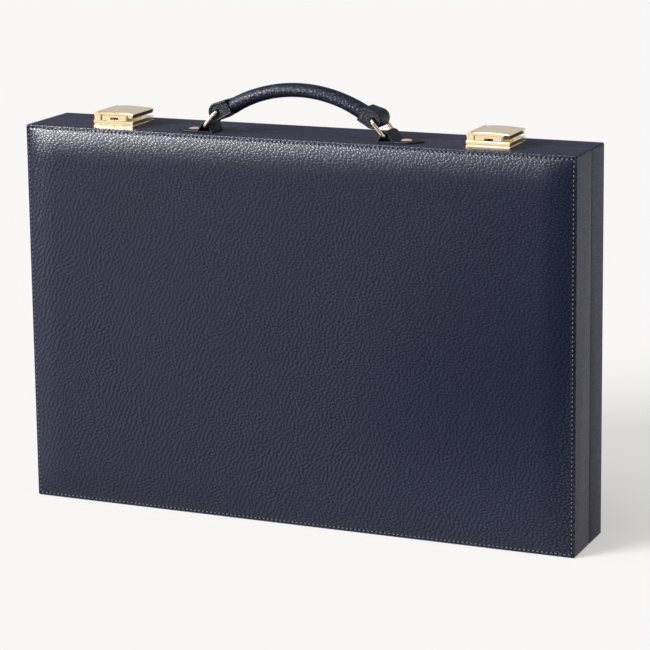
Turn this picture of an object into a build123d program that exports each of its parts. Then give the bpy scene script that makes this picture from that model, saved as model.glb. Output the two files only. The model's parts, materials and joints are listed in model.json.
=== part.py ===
from build123d import *
import math
import os

# A slim leather attache case, standing on its long hinge side.
# Millimetres. X runs along the case, -Y is the base half's panel, +Y the lid's, Z is up.
# The origin is the middle of the underside.

os.makedirs("parts", exist_ok=True)

# ---- Case ----
WIDTH = 445.0  # along X
HEIGHT = 297.0  # along Z, without handle and locks
CORNER_R = 1.5
SEAM_Y = 2.0  # plane where the two halves meet
SEAM_GAP = 0.2  # from the seam plane to each half
BASE_DEPTH = 34.0  # seam plane to the edge of the base half's panel
LID_DEPTH = 30.0
CROWN = 4.0  # how far the padding lifts the middle of a panel
CROWN_INSET = 6.0  # edge to the start of the crown
CROWN_RAMP = 22.0  # width of the rise
CROWN_CORNER = 6.0
FOAM_INSET = 8.0

PANEL_LEATHER = 1.4
WRAP_LEATHER = 1.2
RAIL = 6.0
BOARD = 3.0
LINING = 1.0
BINDING = 1.0
MITRE_GAP = 0.06
WALL = WRAP_LEATHER + RAIL + LINING

# ---- Hinge along the bottom ----
HINGE_Z = 2.2
HINGE_LENGTH = 410.0
KNUCKLES = 17
KNUCKLE_R = 1.8
KNUCKLE_GAP = 0.3
PIN_R = 0.8
PIN_BORE_R = 0.85
LEAF = 1.0
LEAF_TOP = 7.2
LEAF_NOTCH_TOP = 4.4
GROOVE = 3.2  # half width of the groove round the knuckles
RELIEF_TOP = 2.5  # where the bevel that lets the halves swing past each other meets the seam
HINGE_SCREWS = 8
SCREW_R = 0.7
SCREW_HEAD_R = 1.15
SCREW_LENGTH = 8.0
HINGE_SCREW_Z = 5.8
SLOT_HALF = 0.2
SLOT_DEPTH = 0.35
FIT = 0.05  # radial room round screws and rivets

# ---- Lid stays: two equal arms on each side, one side of a rhombus each ----
STAY_ARM = 70.0
STAY_OFFSET = 9.0  # of each fixed pivot from the seam plane
ARM_THICK = 1.2
ARM_WIDTH = 7.0
LOWER_ARM_X = 211.4  # inner face of the lower arm
UPPER_ARM_X = 209.8  # inner face of the upper arm
STAY_PIN_R = 2.0
STAY_BORE_R = 2.08
STAY_OPEN_BORE_R = 2.4  # the open pivot of the linkage, at the lid
STAY_HEAD = 0.7
STAY_HEAD_R = 3.1
STAY_PIN_END_X = 218.0
STAY_CLEAR = 0.1
STAY_SHOULDER_R = 3.0

# ---- Document pocket on the lid ----
POCKET_HALF = 190.0
POCKET_BOTTOM = 20.0
POCKET_TOP = 190.0
POCKET_THICK = 2.2
POCKET_RIM = 3.0

# ---- Handle ----
HANDLE_Y = -15.0
ARCH_R = 105.0
ARCH_TOP = 34.5  # centre line above the case top
GRIP_HALF = 54.0  # from the middle to the end of the padded grip
GRIP_TALL = 10.8
GRIP_WIDE = 14.6
COVER = 1.5
STRAP_WIDE = 19.0
RING_WIRE = 2.8
RING_FOOT = (73.0, 4.6)  # lower bar: X and height above the case top
RING_HEAD = (63.0, 16.4)  # upper bar
RING_HALF = 11.7  # middle to the centre of a leg
RING_BEND = 3.6
LOOP_R = 6.8
LOOP_HOLE_R = 3.5
CHAPE_R = 3.9
CHAPE_HOLE_R = 2.3
CHAPE_FLAT = 1.5
CHAPE_TIP = 100.0
CHAPE_INNER = 66.5
CHAPE_SHOULDER = 79.5  # where the flat part starts to rise
CHAPE_POINT_START = 88.0
CHAPE_POINT_BEND = CHAPE_POINT_START + 0.66 * (CHAPE_TIP - CHAPE_POINT_START)
CHAPE_BEND_Y = 0.24 * STRAP_WIDE
NECK_HIGH = 6.2  # the strap at the grip end, above and below the arch
NECK_LOW = 5.0
TAB_LENGTH = 6.0
TAB_THICK = 1.1
RIVET_X = 86.0
RIVET_R = 4.5
RIVET_DOME = 0.9
RIVET_SHANK_R = 1.5
WASHER_R = 4.5

# ---- Locks ----
LOCK_X = {"left": -150.0, "right": 153.0}
LOCK_HALF = 17.0
LOCK_FRONT = -25.5
LOCK_BACK = 9.5
LOCK_SPLIT = 0.3  # from the seam plane to each metal face
PLATE_TOP = 2.2
NECK_TOP = 3.1
CASE_TOP = 5.5
NECK_INSET = 0.8
ROOF = 4.8  # underside of the lock case's roof
POCKET_FLOOR = 1.0
BODY_TOP = 9.3
BODY_LEFT = -12.0
BODY_RIGHT = 10.5
BODY_FRONT = -23.5
FLAP_AXIS = (-14.3, 9.6)  # X from the lock's middle, height above the case top
FLAP_KNUCKLE_R = 2.2
FLAP_PIN_R = 0.9
FLAP_BORE_R = 0.95
FLAP_UNDER = 9.7
LOCK_EDGE = 0.6
LOCK_CHAMFER = 0.25
BODY_EDGE = 1.0
POCKET_X = 13.0  # half width of the works' pocket
POCKET_Y = -17.0
LOCK_SCREW_DX = (-10.5, 10.5)
LOCK_SCREW_Y = -14.0
KEEPER_SCREW_Y = 5.9
LOCK_SCREW_R = 1.2
LOCK_SCREW_HEAD_R = 2.2
SCREW_HEAD = 0.9
LOCK_SCREW_DEPTH = 6.4
KNUCKLE_FOOT = 1.8
BODY_KNUCKLES = ((-25.0, -19.0), (-4.6, 1.2))
FLAP_KNUCKLES = ((-18.7, -4.9), (1.5, 9.5))
BODY_HOLLOW_X = (-5.0, 4.2)
BODY_HOLLOW_Y = (-22.0, -6.0)
BODY_HOLLOW_TOP = 8.4
SLOT_X = 3.4
SLIDER_SLOT_Z = (5.8, 7.4)
LUG_SLOT_X = (-4.6, 3.5)
LUG_SLOT_Y = (-10.2, -6.2)
BOLT_X = (-11.5, -1.0)
BOLT_Y = (-9.9, -6.5)
BOLT_Z = (2.5, 4.4)
LUG_X = (-4.2, -1.4)
LUG_TOP = 7.3
SLIDER_X = (-3.1, -0.9)
SLIDER_Z = (6.0, 7.2)
SLIDER_TIP_Y = -23.0
FLAP_ROOT_LOW = (-11.8, 9.7)
FLAP_ROOT_HIGH = (-11.8, 11.7)
FLAP_CROWN = (3.0, 12.0)
FLAP_RIM = (16.0, 11.1)
FLAP_NOSE = (17.0, 10.6)
FLAP_LIP_OUT = (15.9, 7.5)
FLAP_UNDERCUT = 1.1  # how far the lip's front face leans back at its foot
FLAP_LIP_IN = (12.6, 7.5)
FLAP_LIP_TOP = (12.2, 9.7)
FLAP_WEB_TOP = 10.8
HOOK_X = (0.0, 6.0)
HOOK_Z = (1.3, 2.3)
HOOK_LIP = 1.4
HOOK_LIP_TOP = 3.9
HOOK_TIP_Y = -12.0

SIDES = {"left": -1, "right": 1}
HALVES = {"base": (-1, BASE_DEPTH), "lid": (1, LID_DEPTH)}


def xz(y, x=0.0, z=0.0):
    """A plane facing -Y: sketch X is X, sketch Y is Z."""
    return Plane(origin=(x, y, z), x_dir=(1, 0, 0), z_dir=(0, -1, 0))


def outward(side, t):
    """Y at a distance t from the seam plane, on the base half (side -1) or the lid half (side 1)."""
    return SEAM_Y + side * t


def rearmost(side, t0, t1):
    """The XZ plane at the larger Y of two distances from the seam plane."""
    return xz(max(outward(side, t0), outward(side, t1)))


def outline(inset, corner):
    """The case's outline seen along Y, inset on all sides."""
    with Locations((0, HEIGHT / 2)):
        RectangleRounded(WIDTH - 2 * inset, HEIGHT - 2 * inset, corner)


def ring_sketch(inset, wall):
    """A rectangular ring seen along Y, inset from the case's outline."""
    outline(inset, max(CORNER_R - inset, 0.5))
    with Locations((0, HEIGHT / 2)):
        Rectangle(WIDTH - 2 * (inset + wall), HEIGHT - 2 * (inset + wall), mode=Mode.SUBTRACT)


def keep_strip(edge, reach, foot):
    """Keeps one edge's strip of a ring, mitred at the corners; foot is where side strips end below."""
    x, z, gap = WIDTH / 2, HEIGHT, MITRE_GAP
    corners = {
        "top": [(-x + gap, z), (x - gap, z), (x - reach - gap, z - reach), (-x + reach + gap, z - reach)],
        "bottom": [(-x + gap, 0), (x - gap, 0), (x - reach - gap, reach), (-x + reach + gap, reach)],
        "left": [(-x, 0), (-x, z), (-x + reach, z - reach), (-x + reach, foot)],
        "right": [(x, 0), (x, z), (x - reach, z - reach), (x - reach, foot)],
    }[edge]
    Polygon(*corners, align=None, mode=Mode.INTERSECT)


def strip(edge, side, t0, t1, inset, wall, reach=20.0, foot=20.0):
    """One mitred strip of a ring between two distances from the seam plane."""
    with BuildSketch(rearmost(side, t0, t1)) as section:
        ring_sketch(inset, wall)
        keep_strip(edge, reach, foot)
    extrude(section.sketch, amount=t1 - t0, clean=False)


def slab(side, t0, t1, inset, corner, mode=Mode.ADD):
    """A plate of the case's outline between two distances from the seam plane."""
    with BuildSketch(rearmost(side, t0, t1)) as section:
        outline(inset, corner)
    extrude(section.sketch, amount=t1 - t0, mode=mode)


def frustum(side, t0, t1, inset0, inset1, mode=Mode.ADD):
    """A shallow frustum of the case's outline between two distances from the seam plane."""
    with BuildSketch(xz(outward(side, t0))) as near:
        outline(inset0, CROWN_CORNER)
    with BuildSketch(xz(outward(side, t1))) as far:
        outline(inset1, CROWN_CORNER)
    loft([near.sketch, far.sketch], mode=mode)


def y_cylinder(radius, x, z, y0, y1, mode=Mode.ADD):
    """A cylinder along Y between two Y values."""
    with BuildSketch(xz(max(y0, y1), x, z)) as disc:
        Circle(radius)
    extrude(disc.sketch, amount=abs(y1 - y0), mode=mode)


def x_cylinder(radius, y, z, x0, x1, mode=Mode.ADD):
    """A cylinder along X between two X values."""
    with BuildSketch(Plane.YZ.offset(min(x0, x1))) as disc:
        with Locations((y, z)):
            Circle(radius)
    extrude(disc.sketch, amount=abs(x1 - x0), mode=mode)


def z_cylinder(radius, x, y, z0, z1, mode=Mode.ADD):
    """A cylinder along Z between two heights."""
    with BuildSketch(Plane.XY.offset(z0)) as disc:
        with Locations((x, y)):
            Circle(radius)
    extrude(disc.sketch, amount=z1 - z0, mode=mode)


def block(x0, x1, y0, y1, z0, z1, mode=Mode.ADD):
    """A plain block between corner values."""
    with BuildSketch(Plane.XY.offset(z0)) as foot:
        with Locations(((x0 + x1) / 2, (y0 + y1) / 2)):
            Rectangle(x1 - x0, y1 - y0)
    extrude(foot.sketch, amount=z1 - z0, mode=mode)


def tangent_point(start, centre, radius, turn):
    """Where the tangent from a point touches a circle; turn is 1 on its left, -1 on its right."""
    across, up = centre[0] - start[0], centre[1] - start[1]
    distance = math.hypot(across, up)
    angle = math.atan2(up, across) + turn * math.asin(radius / distance)
    reach = math.sqrt(distance**2 - radius**2)
    return (start[0] + reach * math.cos(angle), start[1] + reach * math.sin(angle))


# ---- Holes that line up through several pieces ----
RIVET_SPOTS = [(side * RIVET_X, HANDLE_Y) for side in SIDES.values()]
LOCK_SCREW_SPOTS = [(x + dx, LOCK_SCREW_Y) for x in LOCK_X.values() for dx in LOCK_SCREW_DX]
KEEPER_SCREW_SPOTS = [(x + dx, KEEPER_SCREW_Y) for x in LOCK_X.values() for dx in LOCK_SCREW_DX]
TOP_HOLES = {
    "base": [
        *((spot, RIVET_SHANK_R) for spot in RIVET_SPOTS),
        *((spot, LOCK_SCREW_R) for spot in LOCK_SCREW_SPOTS),
    ],
    "lid": [(spot, LOCK_SCREW_R) for spot in KEEPER_SCREW_SPOTS],
}
SCREW_PITCH = HINGE_LENGTH / HINGE_SCREWS
HINGE_SCREW_X = [(i - (HINGE_SCREWS - 1) / 2) * SCREW_PITCH for i in range(HINGE_SCREWS)]
STAY_PIVOT_Z = HINGE_Z + math.sqrt(STAY_ARM**2 - STAY_OFFSET**2)
KNEE_Z = 2 * STAY_PIVOT_Z - HINGE_Z
INNER_X = WIDTH / 2 - WALL
INNER_TOP = HEIGHT - WRAP_LEATHER - RAIL


def cut_top_holes(half, z0, z1):
    """Cuts the holes for the screws and rivets that go down through the top."""
    for (x, y), radius in TOP_HOLES[half]:
        z_cylinder(radius + FIT, x, y, z0, z1, mode=Mode.SUBTRACT)


def cut_hinge_screws(side, radius, t0, t1):
    """Cuts the row of hinge screw holes, along Y."""
    for x in HINGE_SCREW_X:
        y_cylinder(radius + FIT, x, HINGE_SCREW_Z, outward(side, t0), outward(side, t1), mode=Mode.SUBTRACT)


def cut_hinge_relief(side):
    """Bevels the foot of one half at the seam, below the hinge's axis."""
    with BuildSketch(Plane.YZ.offset(-WIDTH / 2 - 1)) as wedge:
        Polygon(
            (SEAM_Y, RELIEF_TOP),
            (SEAM_Y, -1),
            (outward(side, GROOVE), -1),
            (outward(side, GROOVE), 0),
            align=None,
        )
    extrude(wedge.sketch, amount=WIDTH + 2, mode=Mode.SUBTRACT)


def cut_stay_holes(side, x0, x1):
    """Cuts the hole for the stay's pivot screw in both side walls."""
    for hand in SIDES.values():
        pivot_y = outward(side, STAY_OFFSET)
        x_cylinder(STAY_PIN_R + FIT, pivot_y, STAY_PIVOT_Z, hand * x0, hand * x1, mode=Mode.SUBTRACT)


def knuckle_span(i, margin):
    """The X range of one hinge knuckle, widened by a margin at both ends."""
    pitch = HINGE_LENGTH / KNUCKLES
    start = -HINGE_LENGTH / 2 + i * pitch
    return start + KNUCKLE_GAP / 2 - margin, start + pitch - KNUCKLE_GAP / 2 + margin


# ---- The two halves of the case ----
for half, (side, depth) in HALVES.items():
    seam_end = SEAM_GAP + BINDING
    leaf_end = SEAM_GAP + LEAF
    board_face = depth - PANEL_LEATHER
    board_back = board_face - BOARD
    lining_face = board_back - LINING

    # Leather wrapped round the four sides
    with BuildPart() as wrap:
        for edge in ("top", "left", "right"):
            strip(edge, side, seam_end, board_face, 0, WRAP_LEATHER)
        strip("bottom", side, GROOVE, board_face, 0, WRAP_LEATHER)
        cut_hinge_relief(side)
        cut_top_holes(half, HEIGHT - 2 * WRAP_LEATHER, HEIGHT + 1)
    wrap.part.label = f"{half}_wrap"
    export_step(wrap.part, f"parts/{half}_wrap.step")

    # Plywood rails, the bottom one rebated round the hinge
    with BuildPart() as rails:
        for edge in ("top", "left", "right"):
            strip(edge, side, seam_end, board_back, WRAP_LEATHER, RAIL)
        strip("bottom", side, leaf_end, board_back, WRAP_LEATHER, RAIL)
        groove_y = sorted((SEAM_Y, outward(side, GROOVE)))
        block(-WIDTH / 2, WIDTH / 2, *groove_y, 0, LEAF_NOTCH_TOP, mode=Mode.SUBTRACT)
        cut_top_holes(half, INNER_TOP - 1, HEIGHT)
        cut_hinge_screws(side, SCREW_R, 0, leaf_end + SCREW_LENGTH)
        cut_stay_holes(side, INNER_X, STAY_PIN_END_X + FIT)
    rails.part.label = f"{half}_rails"
    export_step(rails.part, f"parts/{half}_rails.step")

    # Leather turned over the frame's edge where the halves meet
    with BuildPart() as binding:
        for edge in ("top", "left", "right"):
            strip(edge, side, SEAM_GAP, seam_end, 0, WALL, reach=WALL, foot=0)
        cut_hinge_relief(side)
    binding.part.label = f"{half}_seam_binding"
    export_step(binding.part, f"parts/{half}_seam_binding.step")

    with BuildPart() as board:
        slab(side, board_back, board_face, WRAP_LEATHER, CORNER_R - WRAP_LEATHER)
    board.part.label = f"{half}_board"
    export_step(board.part, f"parts/{half}_board.step")

    with BuildPart() as foam:
        frustum(side, board_face, board_face + CROWN, FOAM_INSET, FOAM_INSET + CROWN_RAMP)
    foam.part.label = f"{half}_foam"
    export_step(foam.part, f"parts/{half}_foam.step")

    # The padded outer leather: a flat margin and a raised middle, hollow over the foam
    with BuildPart() as panel_leather:
        slab(side, board_face, depth, 0, CORNER_R)
        frustum(side, depth, depth + CROWN, CROWN_INSET, CROWN_INSET + CROWN_RAMP)
        frustum(
            side,
            board_face,
            board_face + CROWN + FIT,
            FOAM_INSET - FIT,
            FOAM_INSET + CROWN_RAMP - FIT,
            mode=Mode.SUBTRACT,
        )
    panel_leather.part.label = f"{half}_panel_leather"
    export_step(panel_leather.part, f"parts/{half}_panel_leather.step")

    with BuildPart() as lining_panel:
        slab(side, lining_face, board_back, WRAP_LEATHER + RAIL, 0.5)
    lining_panel.part.label = f"{half}_lining_panel"
    export_step(lining_panel.part, f"parts/{half}_lining_panel.step")

    with BuildPart() as lining_walls:
        for edge in ("top", "bottom", "left", "right"):
            strip(edge, side, seam_end, lining_face, WRAP_LEATHER + RAIL, LINING)
        cut_stay_holes(side, INNER_X - 1, INNER_X + LINING + 1)
        if half == "base":
            for x, y in RIVET_SPOTS:
                z_cylinder(WASHER_R + FIT, x, y, INNER_TOP - 2 * LINING, INNER_TOP, mode=Mode.SUBTRACT)
    lining_walls.part.label = f"{half}_lining_walls"
    export_step(lining_walls.part, f"parts/{half}_lining_walls.step")

    # Hinge leaf with every second knuckle; notched for the other leaf's knuckles
    with BuildPart() as leaf:
        own = [i for i in range(KNUCKLES) if (i % 2 == 0) == (half == "base")]
        block(
            -HINGE_LENGTH / 2,
            HINGE_LENGTH / 2,
            *sorted((outward(side, SEAM_GAP), outward(side, leaf_end))),
            HINGE_Z,
            LEAF_TOP,
        )
        for i in range(KNUCKLES):
            if i not in own:
                x0, x1 = knuckle_span(i, KNUCKLE_GAP)
                block(x0, x1, SEAM_Y - 2, SEAM_Y + 2, 0, LEAF_NOTCH_TOP, mode=Mode.SUBTRACT)
        for i in own:
            x_cylinder(KNUCKLE_R, SEAM_Y, HINGE_Z, *knuckle_span(i, 0))
        x_cylinder(PIN_BORE_R, SEAM_Y, HINGE_Z, -WIDTH / 2, WIDTH / 2, mode=Mode.SUBTRACT)
        cut_hinge_screws(side, SCREW_HEAD_R, 0, leaf_end + FIT)
    leaf.part.label = f"{half}_hinge_leaf"
    export_step(leaf.part, f"parts/{half}_hinge_leaf.step")

    with BuildPart() as hinge_screws:
        for x in HINGE_SCREW_X:
            head_end = leaf_end - FIT
            head_y = outward(side, head_end)
            y_cylinder(SCREW_HEAD_R, x, HINGE_SCREW_Z, outward(side, SEAM_GAP + FIT), head_y)
            y_cylinder(SCREW_R, x, HINGE_SCREW_Z, head_y, outward(side, head_end + SCREW_LENGTH))
            block(
                x - 2,
                x + 2,
                *sorted((outward(side, 0), outward(side, SEAM_GAP + SLOT_DEPTH))),
                HINGE_SCREW_Z - SLOT_HALF,
                HINGE_SCREW_Z + SLOT_HALF,
                mode=Mode.SUBTRACT,
            )
    hinge_screws.part.label = f"{half}_hinge_screws"
    export_step(hinge_screws.part, f"parts/{half}_hinge_screws.step")

    # Shoulder screws of the stays: the base half holds the lower arms, the lid the upper ones
    arm_x = LOWER_ARM_X if half == "base" else UPPER_ARM_X
    with BuildPart() as stay_screws:
        for hand in SIDES.values():
            y = outward(side, STAY_OFFSET)
            head_x = arm_x - STAY_CLEAR
            x_cylinder(STAY_HEAD_R, y, STAY_PIVOT_Z, hand * (head_x - STAY_HEAD), hand * head_x)
            x_cylinder(STAY_PIN_R, y, STAY_PIVOT_Z, hand * head_x, hand * STAY_PIN_END_X)
            shoulder_x = arm_x + ARM_THICK + STAY_CLEAR
            x_cylinder(STAY_SHOULDER_R, y, STAY_PIVOT_Z, hand * shoulder_x, hand * (INNER_X - FIT))
    stay_screws.part.label = f"{half}_stay_screws"
    export_step(stay_screws.part, f"parts/{half}_stay_screws.step")

with BuildPart() as hinge_pin:
    x_cylinder(PIN_R, SEAM_Y, HINGE_Z, -HINGE_LENGTH / 2 - 1, HINGE_LENGTH / 2 + 1)
    chamfer(hinge_pin.edges().filter_by(GeomType.CIRCLE), 0.25)
hinge_pin.part.label = "hinge_pin"
export_step(hinge_pin.part, "parts/hinge_pin.step")

# A flat document pocket on the lid's lining, open at the top
with BuildPart() as document_pocket:
    pocket_back = LID_DEPTH - PANEL_LEATHER - BOARD - LINING
    pocket_front = pocket_back - POCKET_THICK
    block(
        -POCKET_HALF,
        POCKET_HALF,
        outward(1, pocket_front),
        outward(1, pocket_back),
        POCKET_BOTTOM,
        POCKET_TOP,
    )
    block(
        -POCKET_HALF + POCKET_RIM,
        POCKET_HALF - POCKET_RIM,
        outward(1, pocket_front + LINING),
        outward(1, pocket_back),
        POCKET_BOTTOM + POCKET_RIM,
        POCKET_TOP + 1,
        mode=Mode.SUBTRACT,
    )
document_pocket.part.label = "document_pocket"
export_step(document_pocket.part, "parts/document_pocket.step")

# ---- Lid stays ----
BASE_PIVOT = (SEAM_Y - STAY_OFFSET, STAY_PIVOT_Z)
LID_PIVOT = (SEAM_Y + STAY_OFFSET, STAY_PIVOT_Z)
KNEE = (SEAM_Y, KNEE_Z)


def stay_arm(x0, x1, start, start_hole, end, end_hole):
    """A flat bar with round ends and a hole at each, seen along X."""
    tilt = math.degrees(math.atan2(end[1] - start[1], end[0] - start[0]))
    middle = ((start[0] + end[0]) / 2, (start[1] + end[1]) / 2)
    with BuildSketch(Plane.YZ.offset(min(x0, x1))) as bar:
        with Locations(middle):
            SlotCenterToCenter(STAY_ARM, ARM_WIDTH, rotation=tilt)
        with Locations(start):
            Circle(start_hole, mode=Mode.SUBTRACT)
        with Locations(end):
            Circle(end_hole, mode=Mode.SUBTRACT)
    extrude(bar.sketch, amount=abs(x1 - x0))


for name, hand in SIDES.items():
    with BuildPart() as lower_arm:
        x0, x1 = hand * LOWER_ARM_X, hand * (LOWER_ARM_X + ARM_THICK)
        stay_arm(x0, x1, BASE_PIVOT, STAY_BORE_R, KNEE, STAY_PIN_R + FIT)
    lower_arm.part.label = f"{name}_stay_lower_arm"
    export_step(lower_arm.part, f"parts/{name}_stay_lower_arm.step")

    with BuildPart() as upper_arm:
        x0, x1 = hand * UPPER_ARM_X, hand * (UPPER_ARM_X + ARM_THICK)
        stay_arm(x0, x1, KNEE, STAY_BORE_R, LID_PIVOT, STAY_OPEN_BORE_R)
    upper_arm.part.label = f"{name}_stay_upper_arm"
    export_step(upper_arm.part, f"parts/{name}_stay_upper_arm.step")

    with BuildPart() as knee_pin:
        inner, outer = UPPER_ARM_X - STAY_CLEAR, LOWER_ARM_X + ARM_THICK
        x_cylinder(STAY_PIN_R, *KNEE, hand * inner, hand * outer)
        x_cylinder(STAY_HEAD_R, *KNEE, hand * (inner - STAY_HEAD), hand * inner)
        x_cylinder(STAY_HEAD_R, *KNEE, hand * (outer + FIT), hand * (outer + STAY_HEAD))
        x_cylinder(STAY_PIN_R, *KNEE, hand * outer, hand * (outer + STAY_HEAD))
    knee_pin.part.label = f"{name}_stay_knee_pin"
    export_step(knee_pin.part, f"parts/{name}_stay_knee_pin.step")

# ---- Handle ----
ARCH_CENTRE_Z = HEIGHT + ARCH_TOP - ARCH_R
ARCH_HALF_ANGLE = math.asin(GRIP_HALF / ARCH_R)
GRIP_END_Z = ARCH_CENTRE_Z + ARCH_R * math.cos(ARCH_HALF_ANGLE)
STRAP_BACK = HANDLE_Y + STRAP_WIDE / 2
OUTWARD = (math.cos(ARCH_HALF_ANGLE), -math.sin(ARCH_HALF_ANGLE))  # X and Z at the grip's right end


def grip(wide, tall, hole_wide=0.0, hole_tall=0.0):
    """An oval bar or tube along the handle's arch."""
    sweep_degrees = 2 * math.degrees(ARCH_HALF_ANGLE)
    with BuildLine(xz(HANDLE_Y)) as arch:
        CenterArc((0, ARCH_CENTRE_Z), ARCH_R, 90 - sweep_degrees / 2, sweep_degrees)
    path = arch.edge()
    with BuildSketch(Plane(origin=path @ 0, x_dir=(0, 1, 0), z_dir=path % 0)) as section:
        Ellipse(wide / 2, tall / 2)
        if hole_wide:
            Ellipse(hole_wide / 2, hole_tall / 2, mode=Mode.SUBTRACT)
    sweep(section.sketch, path=path)


with BuildPart() as handle_core:
    grip(GRIP_WIDE - 2 * COVER - 2 * FIT, GRIP_TALL - 2 * COVER - 2 * FIT)
handle_core.part.label = "handle_core"
export_step(handle_core.part, "parts/handle_core.step")

with BuildPart() as handle_cover:
    grip(GRIP_WIDE, GRIP_TALL, GRIP_WIDE - 2 * COVER, GRIP_TALL - 2 * COVER)
handle_cover.part.label = "handle_cover"
export_step(handle_cover.part, "parts/handle_cover.step")

# A strap folded round the ring at each end of the grip, drawn in the frame of the grip's end:
# sketch X points out along the arch, sketch Y away from its centre
END_PLANE = Plane(
    origin=(GRIP_HALF, STRAP_BACK, GRIP_END_Z), x_dir=(OUTWARD[0], 0, OUTWARD[1]), z_dir=(0, -1, 0)
)
HEAD_X = RING_HEAD[0] - GRIP_HALF
HEAD_Z = HEIGHT + RING_HEAD[1] - GRIP_END_Z
LOOP_CENTRE = (HEAD_X * OUTWARD[0] + HEAD_Z * OUTWARD[1], HEAD_Z * OUTWARD[0] - HEAD_X * OUTWARD[1])
NECK_UPPER = (0.0, NECK_HIGH)
NECK_LOWER = (0.0, -NECK_LOW)
LOOP_UPPER = tangent_point(NECK_UPPER, LOOP_CENTRE, LOOP_R, 1)
LOOP_LOWER = tangent_point(NECK_LOWER, LOOP_CENTRE, LOOP_R, -1)

with BuildPart() as handle_loops:
    with BuildSketch(END_PLANE) as loop_section:
        with BuildLine():
            Line(NECK_LOWER, NECK_UPPER)
            Line(NECK_UPPER, LOOP_UPPER)
            ThreePointArc(LOOP_UPPER, (LOOP_CENTRE[0] + LOOP_R, LOOP_CENTRE[1]), LOOP_LOWER)
            Line(LOOP_LOWER, NECK_LOWER)
        make_face()
        with Locations(LOOP_CENTRE):
            Circle(LOOP_HOLE_R, mode=Mode.SUBTRACT)
    extrude(amount=STRAP_WIDE)
    mirror(about=Plane.YZ)
handle_loops.part.label = "handle_loops"
export_step(handle_loops.part, "parts/handle_loops.step")

# The strap's end laid back over each loop, next to the grip
with BuildPart() as handle_tabs:
    slope = math.atan2(LOOP_UPPER[1] - NECK_UPPER[1], LOOP_UPPER[0] - NECK_UPPER[0])
    along = (math.cos(slope), math.sin(slope))
    across = (-math.sin(slope), math.cos(slope))
    far = (NECK_UPPER[0] + TAB_LENGTH * along[0], NECK_UPPER[1] + TAB_LENGTH * along[1])
    with BuildSketch(END_PLANE) as tab_section:
        Polygon(
            NECK_UPPER,
            far,
            (far[0] + TAB_THICK * across[0], far[1] + TAB_THICK * across[1]),
            (NECK_UPPER[0], NECK_UPPER[1] + TAB_THICK),
            align=None,
        )
    extrude(amount=STRAP_WIDE)
    mirror(about=Plane.YZ)
handle_tabs.part.label = "handle_tabs"
export_step(handle_tabs.part, "parts/handle_tabs.step")

# ---- Rings and chapes ----
for name, hand in SIDES.items():
    foot = (hand * RING_FOOT[0], HEIGHT + RING_FOOT[1])
    head = (hand * RING_HEAD[0], HEIGHT + RING_HEAD[1])
    lean = math.atan2(head[0] - foot[0], head[1] - foot[1])
    half_tall = math.dist(foot, head) / 2
    middle = ((foot[0] + head[0]) / 2, HANDLE_Y, (foot[1] + head[1]) / 2)
    with BuildPart() as ring:
        ring_plane = Plane(origin=middle, x_dir=(0, 1, 0), z_dir=(-math.cos(lean), 0, math.sin(lean)))
        with BuildSketch(ring_plane) as ring_shape:
            RectangleRounded(2 * RING_HALF, 2 * half_tall, RING_BEND)
        wire = ring_shape.sketch.face().outer_wire()
        with BuildSketch(Plane(origin=wire @ 0, z_dir=wire % 0)) as wire_section:
            Circle(RING_WIRE / 2)
        sweep(wire_section.sketch, path=wire)
    ring.part.label = f"{name}_ring"
    export_step(ring.part, f"parts/{name}_ring.step")

    # Leather strap under the ring: flat with a pointed end, and looped over the lower bar
    with BuildPart() as chape:
        foot_centre = RING_FOOT
        outer_start = (CHAPE_SHOULDER, CHAPE_FLAT)
        inner_start = (CHAPE_INNER + 0.5, CHAPE_FLAT)
        outer_touch = tangent_point(outer_start, foot_centre, CHAPE_R, -1)
        inner_touch = tangent_point(inner_start, foot_centre, CHAPE_R, 1)
        with BuildSketch(xz(STRAP_BACK, z=HEIGHT)) as chape_section:
            with BuildLine():
                Polyline(inner_touch, inner_start, (CHAPE_INNER, CHAPE_FLAT), (CHAPE_INNER, 0))
                Line((CHAPE_INNER, 0), (CHAPE_TIP, 0))
                Polyline((CHAPE_TIP, 0), (CHAPE_TIP, CHAPE_FLAT), outer_start, outer_touch)
                ThreePointArc(outer_touch, (foot_centre[0], foot_centre[1] + CHAPE_R), inner_touch)
            make_face()
            with Locations(foot_centre):
                Circle(CHAPE_HOLE_R, mode=Mode.SUBTRACT)
        extrude(amount=STRAP_WIDE)
        with BuildSketch(Plane.XY.offset(HEIGHT)) as chape_plan:
            with BuildLine():
                Line((CHAPE_POINT_START, STRAP_BACK), (CHAPE_INNER, STRAP_BACK))
                Line((CHAPE_INNER, STRAP_BACK), (CHAPE_INNER, STRAP_BACK - STRAP_WIDE))
                Line((CHAPE_INNER, STRAP_BACK - STRAP_WIDE), (CHAPE_POINT_START, STRAP_BACK - STRAP_WIDE))
                for side_y in (-1, 1):
                    start = (CHAPE_POINT_START, HANDLE_Y + side_y * STRAP_WIDE / 2)
                    through = (CHAPE_POINT_BEND, HANDLE_Y + side_y * CHAPE_BEND_Y)
                    ThreePointArc(start, through, (CHAPE_TIP, HANDLE_Y))
            make_face()
        extrude(amount=4 * CHAPE_R, mode=Mode.INTERSECT)
        z_cylinder(RIVET_SHANK_R + FIT, RIVET_X, HANDLE_Y, HEIGHT - 1, HEIGHT + 4, mode=Mode.SUBTRACT)
        if hand < 0:
            mirror(about=Plane.YZ)
            split(bisect_by=Plane.YZ, keep=Keep.BOTTOM)
    chape.part.label = f"{name}_chape"
    export_step(chape.part, f"parts/{name}_chape.step")

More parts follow.
